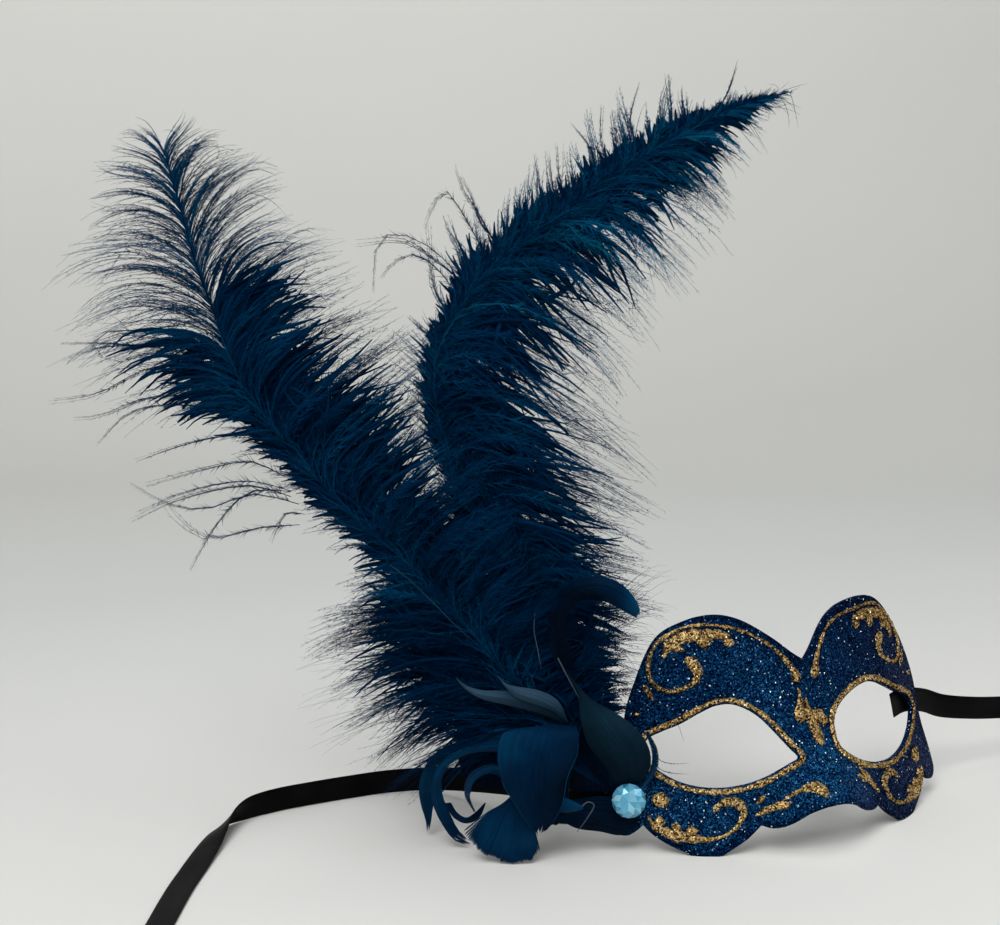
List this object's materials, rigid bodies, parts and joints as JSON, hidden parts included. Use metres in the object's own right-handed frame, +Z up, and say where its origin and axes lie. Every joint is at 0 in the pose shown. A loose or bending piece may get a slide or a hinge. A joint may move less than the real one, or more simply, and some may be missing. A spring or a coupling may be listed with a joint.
{
  "type": "masquerade half mask",
  "caption": "Half mask with a blue glitter face, raised gold scrollwork, a gem, curled feathers and plumes at one temple, and ribbon ties; it stands on its cheek lobes.",
  "frame": {"origin": "on the surface it stands on, under the middle of the mask with its feathers, the ribbons left out", "axes": "+Z up, -Y the way the face looks, +X from the feathered temple to the plain one"},
  "size_m": [0.3981, 0.14, 0.2946],
  "materials": {
    "shell": "blue glitter",
    "gold_relief": "gold glitter",
    "gem": "cut and polished, foil back",
    "feather": "smooth dyed feather",
    "plume": "soft dyed feather",
    "ribbon": "satin"
  },
  "bodies": {
    "root": {"mask_shell": "shell", "eye_rim_left": "gold_relief", "brow_scroll_left": "gold_relief", "cheek_scroll_left": "gold_relief", "cheek_branch_left": "gold_relief", "temple_bead_left": "gold_relief", "rim_bead_left": "gold_relief", "cheek_bead_left": "gold_relief", "eye_rim_right": "gold_relief", "brow_scroll_right": "gold_relief", "cheek_scroll_right": "gold_relief", "cheek_branch_right": "gold_relief", "temple_bead_right": "gold_relief", "rim_bead_right": "gold_relief", "cheek_bead_right": "gold_relief", "centre_flourish": "gold_relief", "gem": "gem", "front_vane": "feather", "floor_fan": "feather", "outer_hook": "feather", "inner_hook": "feather", "small_curl": "feather", "slim_quill_upper": "feather", "slim_quill_lower": "feather", "tall_vane": "feather", "eye_crescent": "feather", "tab_feather": "feather", "plume_left": "plume", "plume_right": "plume", "ribbon_left": "ribbon", "ribbon_right": "ribbon"}
  },
  "joints": []
}
